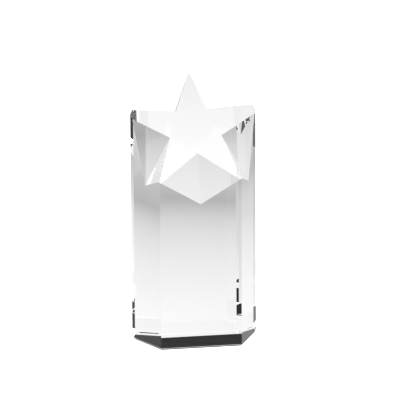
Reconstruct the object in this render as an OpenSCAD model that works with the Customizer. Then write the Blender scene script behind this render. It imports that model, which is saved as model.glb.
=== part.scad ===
// Star trophy
// A solid clear crystal column, cut at a slant so that its top is a five-pointed star, on a
// thin dark base pad. Millimetres, +Z up, the front faces -Y. The origin is at the centre of
// the underside.

/* [Overall] */
// Height from the table to the top tip of the star
total_h = 150; // [100:1:250]
// Width across the two side corners
body_w = 71.3; // [56:0.1:100]

/* [Column] */
// Width of the front face
front_w = 46; // [30:0.1:54]
// Width of the rear face
rear_w = 48.6; // [32:0.1:54]
// Depth from the front face back to the side corners
front_d = 25.2; // [16:0.1:30]
// Depth from the side corners back to the rear face
rear_d = 13.9; // [9:0.1:18]
// Polished bevel along the six edges of the crystal's underside
base_bevel = 0.3; // [0.1:0.1:1.5]

/* [Star] */
// Width of the blunt end of the top tip
tip_flat = 1.1; // [0.3:0.1:3]
// How far the grooves keep back from the two side corners, so that those tips are blunt
side_tip_back = 2; // [0.3:0.1:4]
// How far the grooves keep back from the two front corners, so that those tips are blunt
front_tip_back = 0.6; // [0.3:0.1:3]
// Slant of the star face, measured from the horizontal
star_slant = 53.5; // [45:0.1:60]
// Half-width of the top arm where it meets the shoulders
top_notch_x = 9.4; // [6:0.1:14]
// How far the shoulder notches sit above the line of the side tips, along the star face
top_notch_rise = 0.6; // [-2:0.1:3]
// Distance of each side notch from the centre line
side_notch_x = 14.6; // [11:0.1:19]
// How far the side notches sit below the line of the side tips, along the star face
side_notch_drop = 15.3; // [10:0.1:19]
// How far the bottom notch sits below the line of the side tips, along the star face
low_notch_drop = 25.4; // [19:0.1:31]

/* [Grooves] */
// How far the front groove runs down the front face below the two lower tips
front_groove_drop = 13.2; // [6:0.1:24]
// How far each side groove runs down its face below the middle of its two tips
side_groove_drop = 21.3; // [12:0.1:34]
// Fall of the shoulders towards the rear, measured from the horizontal
shoulder_fall = 14; // [2:0.5:30]
// How much each side of the top arm closes in between the star face and the rear face
arm_taper = 1.2; // [0:0.1:3]

/* [Base pad] */
// Thickness of the base pad
pad_t = 0.6; // [0.4:0.1:3]
// How far the pad stays inside the crystal's bottom bevels
pad_inset = 0.3; // [0.1:0.1:3]
// How far the pad stops short of the crystal's rear face
pad_rear_gap = 6; // [1:0.1:12]

/* [Hidden] */
body_d = front_d + rear_d;
front_y = -body_d / 2;
side_y = front_y + front_d;
rear_y = body_d / 2;

// Heights of the five tips: all of them lie on the slanted star face
side_tip_z = total_h - rear_d * tan(star_slant);
front_tip_z = side_tip_z - front_d * tan(star_slant);

// Column outline, counter-clockwise from the front left corner
outline = [
    [-front_w / 2, front_y], [front_w / 2, front_y], [body_w / 2, side_y],
    [rear_w / 2, rear_y], [-rear_w / 2, rear_y], [-body_w / 2, side_y]
];

// A point on the star face: x from the centre line, rise along the slant from the side tips
function on_star(x, rise) =
    [x, side_y + rise * cos(star_slant), side_tip_z + rise * sin(star_slant)];

side_corner = [body_w / 2, side_y, side_tip_z];
front_corner = [front_w / 2, front_y, front_tip_z];
rear_corner = [rear_w / 2, rear_y, total_h];

// A point on the way from one corner to the next, a distance from the first in plan
function along(a, b, gap) = a + (b - a) * gap / norm([b[0] - a[0], b[1] - a[1]]);

// Where the grooves' flats reach the rim of the star face, beside its tips
top_tip = [tip_flat / 2, rear_y, total_h];
side_tip_behind = along(side_corner, rear_corner, side_tip_back);
side_tip_ahead = along(side_corner, front_corner, side_tip_back);
front_tip_beside = along(front_corner, side_corner, front_tip_back);
front_tip = [front_w / 2 - front_tip_back, front_y, front_tip_z];

top_notch = on_star(top_notch_x, top_notch_rise);
side_notch = on_star(side_notch_x, -side_notch_drop);
low_notch = on_star(0, -low_notch_drop);

// Where each groove's valley runs out: on the middle of its face
front_run_out = [0, front_y, front_tip_z - front_groove_drop];
side_run_out = [
    (front_w + body_w) / 4, (front_y + side_y) / 2,
    (front_tip_z + side_tip_z) / 2 - side_groove_drop
];
shoulder_d = rear_y - top_notch[1];
shoulder_run_out = [
    top_notch_x - arm_taper, rear_y, top_notch[2] - shoulder_d * tan(shoulder_fall)
];

pad_gap = base_bevel + pad_inset;
reach = body_w + total_h;
over = 2;

crystal_color = [0.93, 0.95, 0.97, 0.45];
pad_color = [0.05, 0.05, 0.055];

function flip(p) = [-p[0], p[1], p[2]];
function unit(v) = v / norm(v);
function inward(a, b) = unit([a[1] - b[1], b[0] - a[0]]);

// A corner of the outline moved inward by the same distance from both of its sides
function inset_corner(before, corner, after, gap) =
    let (n = inward(before, corner), m = inward(corner, after))
    corner + gap * (n + m) / (1 + n * m);

pad_outline = [
    for (i = [0:5]) inset_corner(outline[(i + 5) % 6], outline[i], outline[(i + 1) % 6], pad_gap)
];

// A straight V groove. Its valley runs from the notch to the run-out point, and each of its
// two flats reaches the rim of the star face beside one tip.
module vee_groove(notch, run_out, tip_a, tip_b) {
    valley = unit(run_out - notch);
    lean = acos(valley[2]);
    turn = atan2(valley[1], valley[0]);
    side_x = [cos(lean) * cos(turn), cos(lean) * sin(turn), -sin(lean)];
    side_y2 = [-sin(turn), cos(turn), 0];
    a = atan2((tip_a - notch) * side_y2, (tip_a - notch) * side_x);
    b = atan2((tip_b - notch) * side_y2, (tip_b - notch) * side_x);
    mid = atan2(sin(a) + sin(b), cos(a) + cos(b));
    translate(notch)
        rotate([0, lean, turn])
            translate([0, 0, -reach / 4])
                linear_extrude(height = reach)
                    polygon([
                        [0, 0], reach * [cos(a), sin(a)], 2 * reach * [cos(mid), sin(mid)],
                        reach * [cos(b), sin(b)]
                    ]);
}

// Cuts one side of the crystal: its wall, and the bevel along the foot of that wall
module side_cut(from, to) {
    run = to - from;
    translate([from[0], from[1], 0])
        rotate([0, 0, atan2(run[1], run[0])])
            translate([-reach, 0, 0])
                rotate([90, 0, 90])
                    linear_extrude(height = norm(run) + 2 * reach)
                        polygon([
                            [0, pad_t + base_bevel], [0, 2 * reach], [-reach, 2 * reach],
                            [-reach, pad_t - over], [base_bevel + over, pad_t - over]
                        ]);
}

module crystal() {
    color(crystal_color)
        difference() {
            translate([-body_w, -body_d, pad_t])
                cube([2 * body_w, 2 * body_d, total_h - pad_t + over]);

            for (i = [0:5])
                side_cut(outline[i], outline[(i + 1) % 6]);

            // Slanted star face
            translate([0, side_y, side_tip_z])
                rotate([star_slant, 0, 0])
                    translate([-reach, -reach, 0])
                        cube([2 * reach, 2 * reach, reach]);

            // The five grooves between the tips
            vee_groove(low_notch, front_run_out, front_tip, flip(front_tip));
            for (m = [0, 1])
                mirror([m, 0, 0]) {
                    vee_groove(side_notch, side_run_out, side_tip_ahead, front_tip_beside);
                    vee_groove(top_notch, shoulder_run_out, top_tip, side_tip_behind);
                }
        }
}

module base_pad() {
    color(pad_color)
        difference() {
            linear_extrude(height = pad_t)
                polygon(pad_outline);

            // The pad is trimmed straight across, short of the rear face
            translate([-reach, rear_y - pad_rear_gap, -over])
                cube([2 * reach, reach, pad_t + 2 * over]);
        }
}

crystal();
base_pad();
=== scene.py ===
import math

import bmesh
import bpy
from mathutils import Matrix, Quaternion, Vector


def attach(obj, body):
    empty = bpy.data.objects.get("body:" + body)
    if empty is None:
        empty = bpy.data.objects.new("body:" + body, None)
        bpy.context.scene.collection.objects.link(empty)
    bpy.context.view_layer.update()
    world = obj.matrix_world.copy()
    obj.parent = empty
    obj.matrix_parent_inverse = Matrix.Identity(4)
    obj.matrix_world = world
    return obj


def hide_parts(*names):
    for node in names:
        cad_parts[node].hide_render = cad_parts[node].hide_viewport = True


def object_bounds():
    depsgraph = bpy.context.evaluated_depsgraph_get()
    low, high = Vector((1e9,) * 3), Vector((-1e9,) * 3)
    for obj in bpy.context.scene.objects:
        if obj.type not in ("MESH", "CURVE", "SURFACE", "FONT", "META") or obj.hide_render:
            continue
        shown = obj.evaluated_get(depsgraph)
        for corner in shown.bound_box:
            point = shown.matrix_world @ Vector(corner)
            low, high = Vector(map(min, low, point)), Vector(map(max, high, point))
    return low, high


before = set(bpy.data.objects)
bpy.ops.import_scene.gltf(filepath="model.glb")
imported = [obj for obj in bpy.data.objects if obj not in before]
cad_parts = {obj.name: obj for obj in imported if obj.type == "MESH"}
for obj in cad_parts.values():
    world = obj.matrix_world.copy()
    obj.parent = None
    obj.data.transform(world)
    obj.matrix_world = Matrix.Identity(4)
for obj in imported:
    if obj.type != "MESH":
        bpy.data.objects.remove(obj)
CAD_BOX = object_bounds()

scene = bpy.context.scene
MM = 0.001
WHITE = (1, 1, 1, 1)

# The crystal's mesh is welded and its flat facets are joined within these
WELD = 0.002 * MM
FLAT_ANGLE = math.radians(0.4)
CUT_TOLERANCE = 0.001 * MM


def node(nt, kind, at=(0, 0), **values):
    """Adds a node. A value is set on the node itself if it has that name, or else on its socket."""
    n = nt.nodes.new(kind)
    n.location = at
    for k, v in values.items():
        if hasattr(n, k):
            setattr(n, k, v)
        else:
            n.inputs[k.replace("_", " ")].default_value = v
    return n


def material(name):
    """A new material, with its node tree and its main shader."""
    m = bpy.data.materials.new(name)
    m.use_nodes = True
    return m, m.node_tree, m.node_tree.nodes["Principled BSDF"]


# ------------------------------------------------------------------ materials
def crystal_glass():
    """Clear optical crystal. The polish is not perfectly even: a very faint waviness."""
    m, nt, p = material("crystal_glass")
    p.inputs["Base Color"].default_value = WHITE
    p.inputs["Roughness"].default_value = 0.0
    p.inputs["IOR"].default_value = 1.52
    p.inputs["Transmission Weight"].default_value = 1.0
    tc = node(nt, "ShaderNodeTexCoord", (-900, 0))
    wave = node(nt, "ShaderNodeTexNoise", (-700, -100), Scale=55.0, Detail=1.0, Roughness=0.4)
    nt.links.new(tc.outputs["Object"], wave.inputs["Vector"])
    bump = node(nt, "ShaderNodeBump", (-400, -200), Strength=0.02, Distance=0.00002)
    nt.links.new(wave.outputs["Fac"], bump.inputs["Height"])
    nt.links.new(bump.outputs["Normal"], p.inputs["Normal"])
    return m


def bonded_black():
    """The underside where the pad is glued to it: a warm near-black, slightly mottled."""
    m, nt, p = material("bonded_black")
    tc = node(nt, "ShaderNodeTexCoord", (-900, 0))
    mottle = node(nt, "ShaderNodeTexNoise", (-700, 0), Scale=70.0, Detail=3.0, Roughness=0.5)
    nt.links.new(tc.outputs["Object"], mottle.inputs["Vector"])
    ramp = node(nt, "ShaderNodeValToRGB", (-450, 0))
    ramp.color_ramp.elements[0].position = 0.35
    ramp.color_ramp.elements[0].color = (0.0055, 0.0040, 0.0036, 1)
    ramp.color_ramp.elements[1].position = 0.70
    ramp.color_ramp.elements[1].color = (0.016, 0.0125, 0.0115, 1)
    nt.links.new(mottle.outputs["Fac"], ramp.inputs["Fac"])
    nt.links.new(ramp.outputs["Color"], p.inputs["Base Color"])
    p.inputs["Roughness"].default_value = 0.85
    p.inputs["Specular IOR Level"].default_value = 0.0
    return m


def pad_rubber():
    """Thin black pad: matte, finely grained sheet."""
    m, nt, p = material("pad_rubber")
    tc = node(nt, "ShaderNodeTexCoord", (-1000, 0))
    fine = node(nt, "ShaderNodeTexNoise", (-780, 120), Scale=900.0, Detail=3.0, Roughness=0.6)
    broad = node(nt, "ShaderNodeTexNoise", (-780, -120), Scale=45.0, Detail=2.0)
    cells = node(nt, "ShaderNodeTexVoronoi", (-780, -340), Scale=1400.0)
    for t in (fine, broad, cells):
        nt.links.new(tc.outputs["Object"], t.inputs["Vector"])
    ramp = node(nt, "ShaderNodeValToRGB", (-500, 60))
    ramp.color_ramp.elements[0].color = (0.010, 0.009, 0.009, 1)
    ramp.color_ramp.elements[1].color = (0.030, 0.028, 0.028, 1)
    nt.links.new(broad.outputs["Fac"], ramp.inputs["Fac"])
    nt.links.new(ramp.outputs["Color"], p.inputs["Base Color"])
    rough = node(nt, "ShaderNodeMapRange", (-500, -160), To_Min=0.62, To_Max=0.88)
    nt.links.new(fine.outputs["Fac"], rough.inputs["Value"])
    nt.links.new(rough.outputs["Result"], p.inputs["Roughness"])
    bump = node(nt, "ShaderNodeBump", (-300, -360), Strength=0.35, Distance=0.00008)
    nt.links.new(cells.outputs["Distance"], bump.inputs["Height"])
    nt.links.new(bump.outputs["Normal"], p.inputs["Normal"])
    return m


# ------------------------------------------------------------------ crystal
CLEAR, BONDED = 0, 1  # the crystal's material slots


def split_underside(bm, low):
    """Cuts the underside along the pad's sides. The glass is bonded black over the pad, and stays
    clear on the rim outside it."""
    sides = []
    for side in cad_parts["base_pad"].data.polygons:
        if abs(side.normal.z) < 0.1:
            sides.append((side.center.copy(), side.normal.copy()))

    def under(f):
        return f.normal.z < -0.99 and abs(f.calc_center_median().z - low) < 0.01 * MM

    for point, out in sides:
        faces = [f for f in bm.faces if under(f)]
        parts = faces + list({e for f in faces for e in f.edges})
        parts += list({v for f in faces for v in f.verts})
        bmesh.ops.bisect_plane(bm, geom=parts, plane_co=point, plane_no=out, dist=CUT_TOLERANCE)
    for f in bm.faces:
        if under(f):
            middle = f.calc_center_median()
            over_pad = all((middle - point).dot(out) < 0 for point, out in sides)
            f.material_index = BONDED if over_pad else CLEAR


def crystal_piece():
    """The cut crystal: the frame's solid as clean flat facets, welded at its corners. Its
    underside has its own material where the pad is bonded to it."""
    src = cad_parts["crystal"]
    me = bpy.data.meshes.new("crystal_body")
    bm = bmesh.new()
    bm.from_mesh(src.data)
    bmesh.ops.remove_doubles(bm, verts=bm.verts, dist=WELD)
    bmesh.ops.dissolve_limit(
        bm, angle_limit=FLAT_ANGLE, use_dissolve_boundaries=False,
        verts=bm.verts[:], edges=bm.edges[:])
    bmesh.ops.recalc_face_normals(bm, faces=bm.faces[:])
    low = min(v.co.z for v in bm.verts)
    for f in bm.faces:
        f.smooth = False
        f.material_index = CLEAR
    split_underside(bm, low)
    bm.to_mesh(me)
    bm.free()
    me.materials.append(crystal_glass())
    me.materials.append(bonded_black())
    ob = bpy.data.objects.new("crystal_body", me)
    scene.collection.objects.link(ob)
    return ob


crystal = crystal_piece()
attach(crystal, "root")
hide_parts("crystal")

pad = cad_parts["base_pad"]
pad.data.materials.clear()
pad.data.materials.append(pad_rubber())


# ------------------------------------------------------------------ stage
FLOOR_SIZE = 12.0
FLOOR_Z = -0.2 * MM
TABLE_Z = -0.4 * MM


def plane(name, z):
    """A square of floor at height z."""
    me = bpy.data.meshes.new(name)
    s = FLOOR_SIZE / 2
    me.from_pydata([(-s, -s, z), (s, -s, z), (s, s, z), (-s, s, z)], [], [(0, 1, 2, 3)])
    ob = bpy.data.objects.new(name, me)
    scene.collection.objects.link(ob)
    return ob


def floor_white():
    """Plain pale floor, glowing a little so that it stays white."""
    m, _, p = material("floor_white")
    p.inputs["Base Color"].default_value = (0.93, 0.93, 0.93, 1)
    p.inputs["Roughness"].default_value = 0.9
    p.inputs["Specular IOR Level"].default_value = 0.0
    p.inputs["Emission Color"].default_value = WHITE
    p.inputs["Emission Strength"].default_value = 0.6
    return m


# The floor is only what the camera sees directly. The glass doesn't see it.
floor = plane("floor", FLOOR_Z)
floor.data.materials.append(floor_white())
floor.visible_transmission = False
floor.visible_glossy = False
floor.visible_diffuse = False

# The lit table is what the glass sees, and the camera doesn't. It is brightest at a point to the
# trophy's left, falls off all round to a dark ring and then rises a little, and it is dimmer in
# front of the trophy than behind it. Its brightness was tuned by grey levels to one view.
LIT_CENTRE = (-0.055, 0.0, 0.0)
LIT_REACH = 0.6  # where the brightness stops changing
LIT_TOP = 1.2  # the glow at full ramp
FRONT_DIM = 0.80  # the share of light left on the front part
FRONT_FROM, FRONT_TO = -0.06, 0.0  # the dimming fades out between these places in y
PROFILE = [  # distance in mm, brightness
    (0, 1.04), (100, 0.95), (200, 0.84), (250, 0.75), (280, 0.67), (300, 0.58), (325, 0.46),
    (360, 0.52), (600, 0.80),
]


def table_glow():
    """The lit table's glow: PROFILE by distance from LIT_CENTRE, times the dimming in front."""
    m = bpy.data.materials.new("table_glow")
    m.use_nodes = True
    nt = m.node_tree
    nt.nodes.clear()
    out = node(nt, "ShaderNodeOutputMaterial", (800, 0))
    glow = node(nt, "ShaderNodeEmission", (600, 0), Strength=LIT_TOP)
    place = node(nt, "ShaderNodeTexCoord", (-1000, 0))
    away = node(nt, "ShaderNodeVectorMath", (-800, 0), operation="DISTANCE")
    away.inputs[1].default_value = LIT_CENTRE
    share = node(nt, "ShaderNodeMath", (-600, 0), operation="DIVIDE")
    share.inputs[1].default_value = LIT_REACH
    ramp = node(nt, "ShaderNodeValToRGB", (-400, 0))
    stops = ramp.color_ramp.elements
    stops.remove(stops[-1])
    for i, (mm, v) in enumerate(PROFILE):
        stop = stops[0] if i == 0 else stops.new(mm * MM / LIT_REACH)
        stop.position = mm * MM / LIT_REACH
        stop.color = (v / LIT_TOP, v / LIT_TOP, v / LIT_TOP, 1)
    split = node(nt, "ShaderNodeSeparateXYZ", (-800, -250))
    front = node(
        nt, "ShaderNodeMapRange", (-400, -250),
        From_Min=FRONT_FROM, From_Max=FRONT_TO, To_Min=FRONT_DIM)
    dim = node(nt, "ShaderNodeMix", (200, 0), data_type="RGBA", blend_type="MULTIPLY")
    dim.inputs["Factor"].default_value = 1.0
    nt.links.new(place.outputs["Object"], away.inputs[0])
    nt.links.new(away.outputs["Value"], share.inputs[0])
    nt.links.new(share.outputs[0], ramp.inputs["Fac"])
    nt.links.new(place.outputs["Object"], split.inputs[0])
    nt.links.new(split.outputs["Y"], front.inputs["Value"])
    nt.links.new(ramp.outputs["Color"], dim.inputs["A"])
    nt.links.new(front.outputs["Result"], dim.inputs["B"])
    nt.links.new(dim.outputs["Result"], glow.inputs["Color"])
    nt.links.new(glow.outputs[0], out.inputs[0])
    return m


table = plane("lit_table", TABLE_Z)
table.data.materials.append(table_glow())
table.visible_camera = False

# Soft, even surroundings
world = bpy.data.worlds.new("studio")
scene.world = world
world.use_nodes = True
bg = world.node_tree.nodes["Background"]
bg.inputs["Color"].default_value = (0.97, 0.98, 1.0, 1)
bg.inputs["Strength"].default_value = 0.95


def area(name, at, look, size, power):
    """A rectangular soft light that the camera doesn't see."""
    li = bpy.data.lights.new(name, "AREA")
    li.shape = "RECTANGLE"
    li.size, li.size_y = size
    li.energy = power
    ob = bpy.data.objects.new(name, li)
    scene.collection.objects.link(ob)
    ob.location = at
    ob.rotation_euler = (Vector(look) - Vector(at)).to_track_quat("-Z", "Y").to_euler()
    ob.visible_camera = False


area("overhead_softbox", (0.10, -0.63, 1.13), (0, 0, 0.12), (1.0, 1.0), 10)
area("left_softbox", (-1.0, -0.5, 0.7), (0, 0, 0.07), (0.5, 0.8), 5)

# ------------------------------------------------------------------ camera
AZ, EL, ROLL = math.radians(-9.36), math.radians(15.43), math.radians(-0.35)
DIST = 2.613
VIEW_WIDTH = 0.2256  # what the frame spans at the target
# The target lies in the upright plane of the side corners
SIDE_CORNER_DEPTH = 25.2 * MM  # from the front face
TARGET_X, TARGET_Z = 3.73 * MM, 79.4 * MM
target = Vector((TARGET_X, CAD_BOX[0][1] + SIDE_CORNER_DEPTH, TARGET_Z))
toward = Vector((math.sin(AZ) * math.cos(EL), -math.cos(AZ) * math.cos(EL), math.sin(EL)))
cam = bpy.data.cameras.new("camera")
cam_ob = bpy.data.objects.new("camera", cam)
scene.collection.objects.link(cam_ob)
cam_ob.location = target + toward * DIST
level = (-toward).to_track_quat("-Z", "Y")
cam_ob.rotation_euler = (level @ Quaternion((0, 0, 1), ROLL)).to_euler()
cam.sensor_width = 36
cam.lens = cam.sensor_width * DIST / VIEW_WIDTH
cam.clip_start = 0.05
cam.clip_end = 50
cam.dof.use_dof = False
scene.camera = cam_ob

scene.view_settings.view_transform = "Standard"
scene.view_settings.look = "None"
# Light meets many facets before it leaves the crystal
scene.cycles.max_bounces = 24
scene.cycles.transmission_bounces = 24
scene.cycles.glossy_bounces = 12
scene.cycles.transparent_max_bounces = 16
scene.cycles.caustics_reflective = True
scene.cycles.caustics_refractive = True
